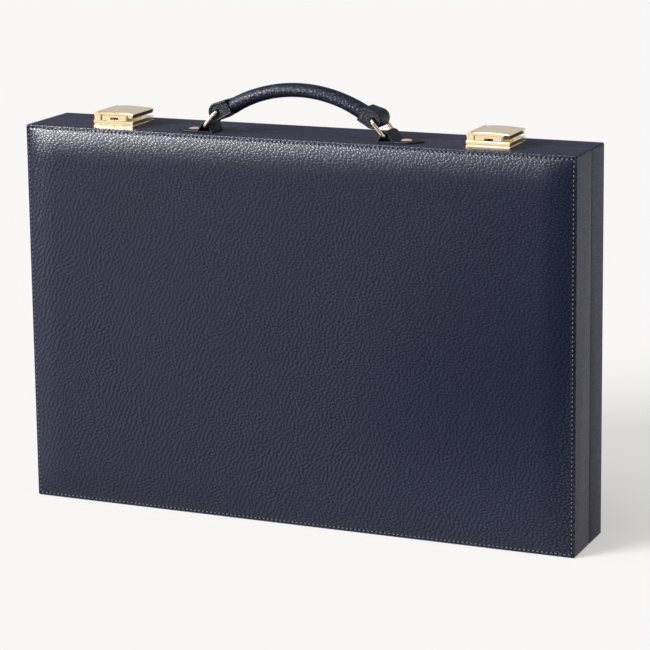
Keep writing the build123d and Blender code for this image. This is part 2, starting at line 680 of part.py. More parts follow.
# Domed rivets through chape, wrap and rail, each with a washer inside
with BuildPart() as handle_rivets:
    cap_r = (RIVET_R**2 + RIVET_DOME**2) / (2 * RIVET_DOME)
    cap_middle = (RIVET_R / 2, math.sqrt(cap_r**2 - RIVET_R**2 / 4) - cap_r + RIVET_DOME)
    for x, y in RIVET_SPOTS:
        with BuildSketch(xz(y, x, HEIGHT + CHAPE_FLAT)) as rivet_section:
            with BuildLine():
                Line((0, 0), (RIVET_R, 0))
                ThreePointArc((RIVET_R, 0), cap_middle, (0, RIVET_DOME))
                Line((0, RIVET_DOME), (0, 0))
            make_face()
        revolve(rivet_section.sketch, axis=Axis((x, y, HEIGHT), (0, 0, 1)))
        z_cylinder(RIVET_SHANK_R, x, y, INNER_TOP - LINING + FIT, HEIGHT + CHAPE_FLAT)
handle_rivets.part.label = "handle_rivets"
export_step(handle_rivets.part, "parts/handle_rivets.step")

with BuildPart() as rivet_washers:
    for x, y in RIVET_SPOTS:
        z_cylinder(WASHER_R, x, y, INNER_TOP - LINING, INNER_TOP)
        z_cylinder(RIVET_SHANK_R + FIT, x, y, INNER_TOP - 2 * LINING, INNER_TOP + 1, mode=Mode.SUBTRACT)
rivet_washers.part.label = "rivet_washers"
export_step(rivet_washers.part, "parts/rivet_washers.step")

# ---- Locks ----
BASE_METAL_END = SEAM_Y - LOCK_SPLIT
LID_METAL_START = SEAM_Y + LOCK_SPLIT


def lock_block(cx, x0, x1, y0, y1, z0, z1, mode=Mode.ADD):
    """A block placed from a lock's middle in X and from the case top in Z."""
    block(cx + x0, cx + x1, y0, y1, HEIGHT + z0, HEIGHT + z1, mode=mode)


def screw(x, y, head_bottom, depth):
    """A slotted screw that goes down from its head."""
    z_cylinder(LOCK_SCREW_HEAD_R, x, y, HEIGHT + head_bottom, HEIGHT + head_bottom + SCREW_HEAD)
    z_cylinder(LOCK_SCREW_R, x, y, HEIGHT - depth, HEIGHT + head_bottom)
    slot_z = HEIGHT + head_bottom + SCREW_HEAD
    block(x - 3, x + 3, y - SLOT_HALF, y + SLOT_HALF, slot_z - SLOT_DEPTH, slot_z + 1, mode=Mode.SUBTRACT)


for name, cx in LOCK_X.items():
    axis_x, axis_z = cx + FLAP_AXIS[0], HEIGHT + FLAP_AXIS[1]

    # Lower plate with the pocket that the keeper's hook and the bolt work in
    with BuildPart() as lock_plate:
        lock_block(cx, -LOCK_HALF, LOCK_HALF, LOCK_FRONT, BASE_METAL_END, 0, PLATE_TOP)
        fillet(lock_plate.edges().filter_by(Axis.Z), LOCK_EDGE)
        chamfer(lock_plate.faces().sort_by(Axis.Z)[-1].edges(), LOCK_CHAMFER)
        pocket = (-POCKET_X, POCKET_X, POCKET_Y, BASE_METAL_END + 1)
        lock_block(cx, *pocket, POCKET_FLOOR, PLATE_TOP + 1, mode=Mode.SUBTRACT)
        for x, y in LOCK_SCREW_SPOTS:
            z_cylinder(LOCK_SCREW_R + FIT, x, y, HEIGHT - 1, HEIGHT + PLATE_TOP, mode=Mode.SUBTRACT)
    lock_plate.part.label = f"{name}_lock_plate"
    export_step(lock_plate.part, f"parts/{name}_lock_plate.step")

    # Upper case on a recessed neck, open at the seam, slotted for the bolt's lug
    with BuildPart() as lock_case:
        lock_block(cx, -LOCK_HALF, LOCK_HALF, LOCK_FRONT, BASE_METAL_END, NECK_TOP, CASE_TOP)
        fillet(lock_case.edges().filter_by(Axis.Z), LOCK_EDGE)
        chamfer(lock_case.faces().sort_by(Axis.Z)[-1].edges(), LOCK_CHAMFER)
        chamfer(lock_case.faces().sort_by(Axis.Z)[0].edges(), LOCK_CHAMFER)
        lock_block(
            cx,
            -LOCK_HALF + NECK_INSET,
            LOCK_HALF - NECK_INSET,
            LOCK_FRONT + NECK_INSET,
            BASE_METAL_END,
            PLATE_TOP,
            NECK_TOP,
        )
        lock_block(cx, *pocket, PLATE_TOP - 1, ROOF, mode=Mode.SUBTRACT)
        lock_block(cx, *LUG_SLOT_X, *LUG_SLOT_Y, ROOF - 1, CASE_TOP + 1, mode=Mode.SUBTRACT)
    lock_case.part.label = f"{name}_lock_case"
    export_step(lock_case.part, f"parts/{name}_lock_case.step")

    # Inset body with the slider's slot in front and two knuckles for the flap on its left
    with BuildPart() as lock_body:
        lock_block(cx, BODY_LEFT, BODY_RIGHT, BODY_FRONT, BASE_METAL_END, CASE_TOP, BODY_TOP)
        fillet(lock_body.edges().filter_by(Axis.Z), BODY_EDGE)
        chamfer(lock_body.faces().sort_by(Axis.Z)[-1].edges(), LOCK_CHAMFER)
        for y0, y1 in BODY_KNUCKLES:
            lock_block(cx, FLAP_AXIS[0] - KNUCKLE_FOOT, BODY_LEFT + 1, y0, y1, CASE_TOP, FLAP_AXIS[1])
            y_cylinder(FLAP_KNUCKLE_R, axis_x, axis_z, y0, y1)
        y_cylinder(FLAP_BORE_R, axis_x, axis_z, LOCK_FRONT, LOCK_BACK, mode=Mode.SUBTRACT)
        lock_block(cx, *BODY_HOLLOW_X, *BODY_HOLLOW_Y, CASE_TOP - 1, BODY_HOLLOW_TOP, mode=Mode.SUBTRACT)
        lock_block(
            cx, -SLOT_X, SLOT_X, LOCK_FRONT - 1, BODY_HOLLOW_Y[0] + 1, *SLIDER_SLOT_Z, mode=Mode.SUBTRACT
        )
    lock_body.part.label = f"{name}_lock_body"
    export_step(lock_body.part, f"parts/{name}_lock_body.step")

    # Bolt bar with a lug that rises through the case into the body
    with BuildPart() as bolt:
        lock_block(cx, *BOLT_X, *BOLT_Y, *BOLT_Z)
        lock_block(cx, *LUG_X, *BOLT_Y, BOLT_Z[0], LUG_TOP)
        chamfer(bolt.faces().sort_by(Axis.X)[-1].edges(), 0.3)
    bolt.part.label = f"{name}_bolt"
    export_step(bolt.part, f"parts/{name}_bolt.step")

    with BuildPart() as slider:
        lock_block(cx, *SLIDER_X, SLIDER_TIP_Y, BOLT_Y[0], *SLIDER_Z)
        chamfer(slider.faces().sort_by(Axis.Y)[0].edges(), 0.25)
    slider.part.label = f"{name}_slider"
    export_step(slider.part, f"parts/{name}_slider.step")

    # Hinged flap: crowned plate, thick bevelled lip at its free end, two knuckles
    with BuildPart() as flap:
        with BuildSketch(xz(LOCK_BACK, cx, HEIGHT)) as flap_section:
            with BuildLine():
                Line(FLAP_ROOT_LOW, FLAP_ROOT_HIGH)
                ThreePointArc(FLAP_ROOT_HIGH, FLAP_CROWN, FLAP_RIM)
                Polyline(FLAP_RIM, FLAP_NOSE, FLAP_LIP_OUT, FLAP_LIP_IN, FLAP_LIP_TOP, FLAP_ROOT_LOW)
            make_face()
        extrude(amount=LOCK_BACK - LOCK_FRONT)
        ends = flap.faces().filter_by(Axis.Y)
        chamfer(ends.edges().filter_by(lambda e: e.center().Z > HEIGHT + FLAP_UNDER + 0.5), LOCK_CHAMFER)
        with BuildSketch(Plane.YZ.offset(cx + FLAP_LIP_TOP[0])) as undercut:
            Polygon(
                (LOCK_FRONT - 1, HEIGHT + FLAP_NOSE[1]),
                (LOCK_FRONT, HEIGHT + FLAP_NOSE[1]),
                (LOCK_FRONT + FLAP_UNDERCUT, HEIGHT + FLAP_LIP_OUT[1]),
                (LOCK_FRONT + FLAP_UNDERCUT, HEIGHT + FLAP_LIP_OUT[1] - 1),
                (LOCK_FRONT - 1, HEIGHT + FLAP_LIP_OUT[1] - 1),
                align=None,
            )
        extrude(undercut.sketch, amount=LOCK_HALF, mode=Mode.SUBTRACT)
        for y0, y1 in FLAP_KNUCKLES:
            lock_block(cx, FLAP_AXIS[0], FLAP_ROOT_LOW[0] + 0.5, y0, y1, FLAP_AXIS[1], FLAP_WEB_TOP)
            y_cylinder(FLAP_KNUCKLE_R, axis_x, axis_z, y0, y1)
        y_cylinder(FLAP_BORE_R, axis_x, axis_z, LOCK_FRONT, LOCK_BACK, mode=Mode.SUBTRACT)
    flap.part.label = f"{name}_flap"
    export_step(flap.part, f"parts/{name}_flap.step")

    with BuildPart() as flap_pin:
        y_cylinder(FLAP_PIN_R, axis_x, axis_z, BODY_KNUCKLES[0][0], LOCK_BACK)
    flap_pin.part.label = f"{name}_flap_pin"
    export_step(flap_pin.part, f"parts/{name}_flap_pin.step")

    # The lid's half of the lock, in line with the plate and the case
    with BuildPart() as keeper:
        for z0, z1 in ((0, PLATE_TOP), (NECK_TOP, CASE_TOP)):
            lock_block(cx, -LOCK_HALF, LOCK_HALF, LID_METAL_START, LOCK_BACK, z0, z1)
        fillet(keeper.edges().filter_by(Axis.Z), LOCK_EDGE)
        chamfer(keeper.faces().sort_by(Axis.Z)[-1].edges(), LOCK_CHAMFER)
        lock_block(
            cx,
            -LOCK_HALF + NECK_INSET,
            LOCK_HALF - NECK_INSET,
            LID_METAL_START,
            LOCK_BACK - NECK_INSET,
            PLATE_TOP,
            NECK_TOP,
        )
        for x, y in KEEPER_SCREW_SPOTS:
            z_cylinder(LOCK_SCREW_R + FIT, x, y, HEIGHT - 1, HEIGHT + CASE_TOP + 1, mode=Mode.SUBTRACT)
            seat = HEIGHT + CASE_TOP - SCREW_HEAD - FIT
            z_cylinder(LOCK_SCREW_HEAD_R + FIT, x, y, seat, HEIGHT + CASE_TOP + 1, mode=Mode.SUBTRACT)
    keeper.part.label = f"{name}_keeper"
    export_step(keeper.part, f"parts/{name}_keeper.step")

    # Hook that reaches from the keeper into the lock; the bolt slides in behind its lip
    with BuildPart() as hook:
        lock_block(cx, *HOOK_X, HOOK_TIP_Y, LID_METAL_START, *HOOK_Z)
        lock_block(cx, *HOOK_X, HOOK_TIP_Y, HOOK_TIP_Y + HOOK_LIP, HOOK_Z[0], HOOK_LIP_TOP)
    hook.part.label = f"{name}_hook"
    export_step(hook.part, f"parts/{name}_hook.step")

with BuildPart() as lock_screws:
    for x, y in LOCK_SCREW_SPOTS:
        screw(x, y, POCKET_FLOOR + FIT, LOCK_SCREW_DEPTH)
lock_screws.part.label = "lock_screws"
export_step(lock_screws.part, "parts/lock_screws.step")

with BuildPart() as keeper_screws:
    for x, y in KEEPER_SCREW_SPOTS:
        screw(x, y, CASE_TOP - SCREW_HEAD, LOCK_SCREW_DEPTH)
keeper_screws.part.label = "keeper_screws"
export_step(keeper_screws.part, "parts/keeper_screws.step")
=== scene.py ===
import json
import math

import bmesh
import bpy
from mathutils import Matrix, Vector

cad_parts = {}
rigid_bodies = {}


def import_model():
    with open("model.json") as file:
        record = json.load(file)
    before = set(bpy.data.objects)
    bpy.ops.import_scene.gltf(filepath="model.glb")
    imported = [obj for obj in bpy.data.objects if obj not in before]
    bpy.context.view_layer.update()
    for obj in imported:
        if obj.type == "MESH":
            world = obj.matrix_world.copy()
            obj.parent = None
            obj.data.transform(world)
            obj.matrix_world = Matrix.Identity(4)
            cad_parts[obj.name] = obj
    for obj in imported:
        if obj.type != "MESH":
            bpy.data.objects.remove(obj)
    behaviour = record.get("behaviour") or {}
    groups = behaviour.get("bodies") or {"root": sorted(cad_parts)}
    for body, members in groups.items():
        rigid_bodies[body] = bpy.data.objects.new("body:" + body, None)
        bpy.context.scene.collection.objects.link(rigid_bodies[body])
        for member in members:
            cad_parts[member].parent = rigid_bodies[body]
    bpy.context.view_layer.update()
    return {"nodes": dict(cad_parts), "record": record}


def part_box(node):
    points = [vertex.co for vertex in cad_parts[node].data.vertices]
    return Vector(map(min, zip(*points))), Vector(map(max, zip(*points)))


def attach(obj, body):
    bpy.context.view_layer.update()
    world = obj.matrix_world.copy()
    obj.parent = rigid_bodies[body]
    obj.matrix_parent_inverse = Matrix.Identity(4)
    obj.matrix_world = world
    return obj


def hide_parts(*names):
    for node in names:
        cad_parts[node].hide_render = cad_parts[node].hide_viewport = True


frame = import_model()

MM = 0.001

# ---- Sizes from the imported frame, in metres ----
panel_low, panel_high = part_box("base_panel_leather")
lid_panel_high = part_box("lid_panel_leather")[1]
base_seam_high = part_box("base_seam_binding")[1]
lid_seam_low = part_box("lid_seam_binding")[0]
WIDTH = panel_high[0] - panel_low[0]
HEIGHT = panel_high[2] - panel_low[2]
SEAM_Y = (base_seam_high[1] + lid_seam_low[1]) / 2

# ---- Sizes of the case ----
CORNER = 1.5 * MM  # radius of the outline's corners
CROWN = 4.0 * MM  # how far the padding stands out in the middle
MARGIN = 1.0 * MM  # flat leather outside the padding
RAMP = 27.0 * MM  # width over which the padding rises
LEATHER = 1.4 * MM  # thickness of the panels' leather
WRAP = 1.2 * MM  # thickness of the leather round the sides
WALL = 8.2 * MM  # how far in the wrap leather ends, after it has turned over the frame's edge
TURN_RADIUS = 0.5 * MM  # radius of the wrap leather's edges
TURNED = 1.0 * MM  # thickness of the wrap leather where it is turned in
SEAM_GAP = 0.35 * MM  # the leather turns in a little before the halves meet
GROOVE = 3.2 * MM  # half the width of the bevelled groove at the foot, over the hinge
RELIEF_TOP = 2.5 * MM  # height of that groove
HALVES = {
    "base": {"side": -1, "edge": SEAM_Y - (panel_low[1] + CROWN)},
    "lid": {"side": 1, "edge": (lid_panel_high[1] - CROWN) - SEAM_Y},
}

SHARP_ANGLE = math.radians(38)  # a steeper fold than this is shaded as an edge


# ---- Small helpers ----
def mesh_object(name, vertices, faces):
    """A smoothly shaded mesh object from vertices in metres, with its normals turned outwards."""
    data = bpy.data.meshes.new(name)
    data.from_pydata([tuple(v) for v in vertices], [], faces)
    shape = bmesh.new()
    shape.from_mesh(data)
    bmesh.ops.recalc_face_normals(shape, faces=shape.faces)
    shape.to_mesh(data)
    shape.free()
    for polygon in data.polygons:
        polygon.use_smooth = True
    data.set_sharp_from_angle(angle=SHARP_ANGLE)
    piece = bpy.data.objects.new(name, data)
    bpy.context.scene.collection.objects.link(piece)
    return piece


def grid_faces(rows, columns, start=0, close_rows=False, close_columns=False):
    """Quads between the points of a grid stored row by row."""
    faces = []
    for i in range(rows if close_rows else rows - 1):
        for j in range(columns if close_columns else columns - 1):
            a = start + i * columns + j
            b = start + i * columns + (j + 1) % columns
            c = start + ((i + 1) % rows) * columns + (j + 1) % columns
            d = start + ((i + 1) % rows) * columns + j
            faces.append((a, b, c, d))
    return faces


def shifted(faces, shift):
    """Faces whose vertex numbers are all raised by shift."""
    return [tuple(index + shift for index in face) for face in faces]


def arc_points(centre, radius, start, end, steps):
    """Points of an arc between two angles in degrees."""
    points = []
    for k in range(steps + 1):
        angle = math.radians(start + (end - start) * k / steps)
        points.append((centre[0] + radius * math.cos(angle), centre[1] + radius * math.sin(angle)))
    return points


def line_points(start, end, steps):
    """Points of a straight run, without its last point."""
    return [
        (start[0] + (end[0] - start[0]) * k / steps, start[1] + (end[1] - start[1]) * k / steps)
        for k in range(steps)
    ]


def dress(piece, material, body, slot, *nodes):
    """Gives a piece its material and its body, and hides the CAD nodes that it stands for."""
    piece.data.materials.clear()
    piece.data.materials.append(material)
    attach(piece, body)
    if nodes:
        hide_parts(*nodes)


def new_material(name):
    """A node material, its node tree and its principled shader."""
    made = bpy.data.materials.new(name)
    made.use_nodes = True
    return made, made.node_tree, made.node_tree.nodes["Principled BSDF"]


def add_node(tree, kind, inputs, **settings):
    """A shader node with its settings; inputs are values or sockets to link from."""
    made = tree.nodes.new(kind)
    for key, value in settings.items():
        setattr(made, key, value)
    for key, value in inputs.items():
        if isinstance(value, bpy.types.NodeSocket):
            tree.links.new(value, made.inputs[key])
        else:
            made.inputs[key].default_value = value
    return made


def ramp_colour(tree, source, stops):
    """The colour that a ramp of (position, colour) stops gives for a source value."""
    made = add_node(tree, "ShaderNodeValToRGB", {"Fac": source})
    elements = made.color_ramp.elements
    for element, (position, colour) in ((elements[0], stops[0]), (elements[1], stops[-1])):
        element.position = position
        element.color = (*colour, 1)
    for position, colour in stops[1:-1]:
        elements.new(position).color = (*colour, 1)
    return made.outputs["Color"]


def remap(tree, value, low, high):
    """A value from 0 to 1 brought to the range from low to high."""
    made = add_node(tree, "ShaderNodeMapRange", {"Value": value, "To Min": low, "To Max": high})
    return made.outputs["Result"]


def scaled(colour, factor):
    """A colour, lighter or darker by a factor."""
    return tuple(factor * c for c in colour)


# ---- Materials ----
def pebble_height(tree, place, grain, face_on, lean):
    """Two sockets for pebbled leather: the pebbles, from 0 in the creases, and those with fine pores."""
    turn = (math.radians(90), math.radians(-lean), 0.0) if face_on else (0.0, 0.0, 0.0)
    cells = (grain[0], grain[2], grain[1]) if face_on else grain
    shape = {"voronoi_dimensions": "2D" if face_on else "3D"}
    placing = {"Vector": place, "Rotation": turn, "Scale": cells}
    mapped = add_node(tree, "ShaderNodeMapping", placing, vector_type="TEXTURE").outputs["Vector"]
    drift = add_node(tree, "ShaderNodeTexNoise", {"Vector": mapped, "Scale": 0.55, "Detail": 2.0})
    both = {0: drift.outputs["Color"], 1: (0.5, 0.5, 0.5)}
    centred = add_node(tree, "ShaderNodeVectorMath", both, operation="SUBTRACT").outputs["Vector"]
    warp = add_node(tree, "ShaderNodeVectorMath", {0: centred, "Scale": 0.9}, operation="SCALE")
    both = {0: mapped, 1: warp.outputs["Vector"]}
    warped = add_node(tree, "ShaderNodeVectorMath", both, operation="ADD").outputs["Vector"]
    spacing = {"Vector": warped, "Scale": 1.0, "Randomness": 0.85}
    edges = add_node(tree, "ShaderNodeTexVoronoi", spacing, feature="DISTANCE_TO_EDGE", **shape)
    centres = add_node(tree, "ShaderNodeTexVoronoi", spacing, feature="F1", **shape)
    crease_range = {"Value": edges.outputs["Distance"], "From Min": -0.04, "From Max": 0.42}
    creases = add_node(tree, "ShaderNodeMapRange", crease_range, interpolation_type="SMOOTHSTEP")
    both = {0: creases.outputs["Result"], 1: remap(tree, centres.outputs["Distance"], 1.0, 0.35)}
    pebbles = add_node(tree, "ShaderNodeMath", both, operation="MULTIPLY").outputs["Value"]
    pores = add_node(tree, "ShaderNodeTexNoise", {"Vector": mapped, "Scale": 5.0, "Detail": 2.0})
    parts = {0: pores.outputs["Fac"], 1: 0.20, 2: pebbles}
    height = add_node(tree, "ShaderNodeMath", parts, operation="MULTIPLY_ADD").outputs["Value"]
    return pebbles, height


def leather(name, colour, grain, depth, roughness, face_on=False, lean=0.0):
    """Pebbled leather: domed grains with duller creases between them, and fine pores; the colour and the
    specular tint are painted darker in the creases as painted shade, and the colour is painted lighter on the
    pebbles' tops as a painted highlight.

    grain is a pebble's size along X, Y and Z in millimetres. A face_on leather lies in the XZ plane,
    and its pebbles are turned in that plane by lean degrees.
    """
    made, tree, shader = new_material(name)
    place = add_node(tree, "ShaderNodeTexCoord", {}).outputs["Object"]
    pebbles, height = pebble_height(tree, place, tuple(size * MM for size in grain), face_on, lean)
    relief = {"Height": height, "Distance": depth, "Strength": 1.0}
    bump = add_node(tree, "ShaderNodeBump", relief).outputs["Normal"]
    tree.links.new(bump, shader.inputs["Normal"])
    patches = add_node(tree, "ShaderNodeTexNoise", {"Vector": place, "Scale": 9.0, "Detail": 3.0})
    tone = remap(tree, patches.outputs["Fac"], 0.82, 1.18)
    # Painted shade in the creases (0.45 of the colour) and a painted highlight on the pebbles' tops (1.25 of
    # it).
    crease_shade_top_light_stops = [(0.0, scaled(colour, 0.45)), (0.5, colour), (1.0, scaled(colour, 1.25))]
    base = ramp_colour(tree, pebbles, crease_shade_top_light_stops)
    toned = add_node(tree, "ShaderNodeVectorMath", {0: base, "Scale": tone}, operation="SCALE")
    tree.links.new(toned.outputs["Vector"], shader.inputs["Base Color"])
    tree.links.new(remap(tree, pebbles, roughness + 0.16, roughness), shader.inputs["Roughness"])
    # Painted shade on the reflection: the specular tint falls to a quarter in the creases.
    crease_reflection_shade_stops = [(0.0, (0.25, 0.25, 0.28)), (0.5, (0.85, 0.86, 0.90)), (0.85, (1.0, 1.0, 1.0))]
    tree.links.new(ramp_colour(tree, pebbles, crease_reflection_shade_stops), shader.inputs["Specular Tint"])
    return made


def polished_metal(name, colour, roughness, hairlines):
    """Plated metal with cloudy polish, and faint hairline scratches of a depth in metres."""
    made, tree, shader = new_material(name)
    place = add_node(tree, "ShaderNodeTexCoord", {}).outputs["Object"]
    clouds = add_node(tree, "ShaderNodeTexNoise", {"Vector": place, "Scale": 160.0, "Detail": 4.0})
    polish = remap(tree, clouds.outputs["Fac"], roughness * 0.6, roughness * 1.5)
    tree.links.new(polish, shader.inputs["Roughness"])
    stretched = add_node(tree, "ShaderNodeMapping", {"Vector": place, "Scale": (300.0, 6000.0, 6000.0)})
    lines = add_node(tree, "ShaderNodeTexNoise", {"Vector": stretched.outputs["Vector"], "Scale": 1.0})
    relief = {"Height": lines.outputs["Fac"], "Distance": hairlines, "Strength": 0.12}
    tree.links.new(add_node(tree, "ShaderNodeBump", relief).outputs["Normal"], shader.inputs["Normal"])
    tint = ramp_colour(tree, clouds.outputs["Fac"], [(0.3, scaled(colour, 0.93)), (0.7, colour)])
    tree.links.new(tint, shader.inputs["Base Color"])
    shader.inputs["Metallic"].default_value = 1.0
    return made


def fibrous(name, colour, scale, depth, roughness, sheen=0.0, specular=0.5, stretch=(1.0, 1.0, 1.0)):
    """Matte cloth, suede, wood or foam: streaky noise for colour and relief."""
    made, tree, shader = new_material(name)
    place = add_node(tree, "ShaderNodeTexCoord", {}).outputs["Object"]
    mapped = add_node(tree, "ShaderNodeMapping", {"Vector": place, "Scale": stretch}).outputs["Vector"]
    nap = add_node(tree, "ShaderNodeTexNoise", {"Vector": mapped, "Scale": scale, "Detail": 6.0})
    brushed = add_node(tree, "ShaderNodeTexNoise", {"Vector": mapped, "Scale": scale / 60, "Detail": 3.0})
    both = {0: nap.outputs["Fac"], 1: brushed.outputs["Fac"]}
    mix = add_node(tree, "ShaderNodeMath", both, operation="MULTIPLY").outputs["Value"]
    tint = ramp_colour(tree, mix, [(0.12, scaled(colour, 0.7)), (0.4, scaled(colour, 1.15))])
    tree.links.new(tint, shader.inputs["Base Color"])
    relief = {"Height": nap.outputs["Fac"], "Distance": depth}
    tree.links.new(add_node(tree, "ShaderNodeBump", relief).outputs["Normal"], shader.inputs["Normal"])
    rough = remap(tree, nap.outputs["Fac"], roughness, min(roughness + 0.1, 1.0))
    tree.links.new(rough, shader.inputs["Roughness"])
    shader.inputs["Sheen Weight"].default_value = sheen
    shader.inputs["Specular IOR Level"].default_value = specular
    return made


NAVY = (0.0044, 0.0063, 0.0190)
# Painted light: the wrap is the same navy leather as the panels, given a colour several times lighter so that
# the case's top and sides look brighter.
WRAP_NAVY_PAINTED_LIGHTER = (0.0190, 0.0194, 0.0425)
STRAP_NAVY = (0.007, 0.009, 0.017)
panel_leather = leather("panel_leather", NAVY, (3.3, 3.0, 1.5), 0.075 * MM, 0.18, face_on=True, lean=-24.0)
wrap_leather = leather("wrap_leather", WRAP_NAVY_PAINTED_LIGHTER, (1.6, 1.6, 1.6), 0.07 * MM, 0.40)
strap_leather = leather("strap_leather", STRAP_NAVY, (1.4, 1.4, 1.4), 0.12 * MM, 0.34)
grip_leather = leather("grip_leather", NAVY, (2.9, 2.5, 2.5), 0.26 * MM, 0.30)
thread = fibrous("thread", (0.068, 0.073, 0.105), 3000.0, 0.05 * MM, 0.6, sheen=0.2)
# Near black: the painted shade of the needle holes.
painted_hole_shade = fibrous("needle_hole_shade", (0.003, 0.003, 0.005), 2000.0, 0.02 * MM, 0.8, specular=0.05)
gold = polished_metal("gilt", (0.97, 0.79, 0.52), 0.12, 0.002 * MM)
# Painted shade: the steel is made near black so that the lock buttons in their slots show as the slots' dark
# depth.
dark_steel = polished_metal("steel_dark_as_slot_shade", (0.10, 0.10, 0.11), 0.35, 0.004 * MM)
suede = fibrous("suede", (0.045, 0.055, 0.10), 900.0, 0.12 * MM, 0.85, sheen=0.5)
plywood = fibrous("plywood", (0.50, 0.34, 0.19), 90.0, 0.1 * MM, 0.6, stretch=(0.2, 3.0, 1.0))
foam = fibrous("foam", (0.72, 0.70, 0.62), 500.0, 0.2 * MM, 0.9)
rope = fibrous("rope", (0.55, 0.45, 0.30), 700.0, 0.3 * MM, 0.85)

LEATHER_SLOT = "navy_leather"
SLOT_MATERIALS = {
    LEATHER_SLOT: strap_leather,
    "suede_lining": suede,
    "plywood": plywood,
    "foam": foam,
    "rope_core": rope,
    "gilt_brass": gold,
    "dark_steel": dark_steel,
}
node_slots = {s["node"]: s.get("material_slot", s["node"]) for s in frame["record"]["subparts"]}
for node_name, cad_object in frame["nodes"].items():
    cad_object.data.materials.clear()
    cad_object.data.materials.append(SLOT_MATERIALS[node_slots[node_name]])


# ---- Padded panels ----
EDGE_RADIUS = 0.8 * MM  # rounding of the panel's outer edge
RISE_POWER = 2.3  # more makes the padding steeper at its edge and flatter in the middle
STITCH_INSET = 2.5 * MM
SEAM_PULL = 0.22 * MM  # how deep the stitching pulls the leather in, and how far to its sides
SEAM_PULL_REACH = 0.9 * MM
EDGE_SPOTS = [0.0, 0.08 * MM, 0.25 * MM, 0.5 * MM, 0.8 * MM]  # the mesh's lines on the rounded edge
STITCH_ZONE = 5.0 * MM  # out to here the mesh follows the stitching
STITCH_STEP = 0.6 * MM
RAMP_STEP = 1.6 * MM
MIDDLE_STEP = 5.0 * MM


def edge_spacing(length):
    """Distances from 0 to length: close together near both ends, wide in the middle."""
    near = list(EDGE_SPOTS)
    while near[-1] < STITCH_ZONE:
        near.append(near[-1] + STITCH_STEP)
    while near[-1] < MARGIN + RAMP:
        near.append(near[-1] + RAMP_STEP)
    middle = length - 2 * near[-1]
    count = int(middle / MIDDLE_STEP)
    between = [near[-1] + middle * k / count for k in range(1, count)]
    return near + between + [length - d for d in reversed(near)]


def rise(distance):
    """How far the padding has risen at a distance from the edge, from 0 to 1."""
    t = min(max((distance - MARGIN) / RAMP, 0.0), 1.0)
    return 1 - (1 - t) ** RISE_POWER


def crown_height(u, v):
    """How far the leather stands out at u along and v up the panel; the stitching pulls it in."""
    across, up = min(u, WIDTH - u), min(v, HEIGHT - v)
    pull = SEAM_PULL * math.exp(-(((min(across, up) - STITCH_INSET) / SEAM_PULL_REACH) ** 2))
    return CROWN * rise(across) * rise(up) - pull


def round_corner(x, z):
    """Moves a point near the outline's corners onto a rounded corner."""
    cx, cz = WIDTH / 2 - CORNER, HEIGHT / 2 - CORNER
    dx, dz = abs(x) - cx, abs(z - HEIGHT / 2) - cz
    if dx <= 0 or dz <= 0:
        return x, z
    length = math.hypot(dx, dz)
    reach = max(dx, dz)
    return (
        math.copysign(cx + dx * reach / length, x),
        HEIGHT / 2 + math.copysign(cz + dz * reach / length, z - HEIGHT / 2),
    )


def padded_panel(half):
    """The outer leather of one half: a flat margin, a rounded edge and a crowned middle."""
    side, edge = HALVES[half]["side"], HALVES[half]["edge"]
    columns, rows = edge_spacing(WIDTH), edge_spacing(HEIGHT)
    outer, inner = [], []
    for v in rows:
        for u in columns:
            from_edge = min(u, WIDTH - u, v, HEIGHT - v)
            lift = crown_height(u, v)
            drop = 0.0
            if from_edge < EDGE_RADIUS:
                drop = EDGE_RADIUS - math.sqrt(EDGE_RADIUS**2 - (EDGE_RADIUS - from_edge) ** 2)
            x, z = round_corner(u - WIDTH / 2, v)
            outer.append((x, SEAM_Y + side * (edge + lift - drop), z))
            inner.append((x, SEAM_Y + side * (edge + lift - LEATHER), z))
    count = len(outer)
    n_rows, n_columns = len(rows), len(columns)
    faces = grid_faces(n_rows, n_columns) + grid_faces(n_rows, n_columns, start=count)
    rim = list(range(n_columns))
    rim += [i * n_columns + n_columns - 1 for i in range(1, n_rows)]
    rim += [(n_rows - 1) * n_columns + j for j in range(n_columns - 2, -1, -1)]
    rim += [i * n_columns for i in range(n_rows - 2, 0, -1)]
    for a, b in zip(rim, rim[1:] + rim[:1]):
        faces.append((a, b, b + count, a + count))
    piece = mesh_object(f"{half}_padded_panel", outer + inner, faces)
    dress(piece, panel_leather, half, LEATHER_SLOT, f"{half}_panel_leather")


# ---- Stitching ----
STITCH_PITCH = 3.45 * MM
STITCH_LIFT = 0.04 * MM  # thread and the needle holes' painted shade lie this far above the leather
THREAD_LENGTH = 2.0 * MM
THREAD_RADIUS = 0.34 * MM
THREAD_ARCH = 0.28 * MM
# Size of the dark lens that paints each needle hole's shade.
HOLE_LENGTH = 2.2 * MM
HOLE_WIDTH = 1.5 * MM
HOLE_HEIGHT = 0.16 * MM


def stitch_spots():
    """Evenly spaced spots round the panel, each with its direction and the distance to the next."""
    half_x, half_z = WIDTH / 2 - STITCH_INSET, HEIGHT / 2 - STITCH_INSET
    corners = [(-half_x, half_z), (half_x, half_z), (half_x, -half_z), (-half_x, -half_z)]
    spots = []
    for start, end in zip(corners, corners[1:] + corners[:1]):
        length = math.dist(start, end)
        count = round(length / STITCH_PITCH)
        direction = ((end[0] - start[0]) / length, (end[1] - start[1]) / length)
        for k in range(count):
            along = (k + 0.5) * length / count
            spot = (start[0] + direction[0] * along, start[1] + direction[1] * along)
            spots.append((spot, direction, length / count))
    return spots


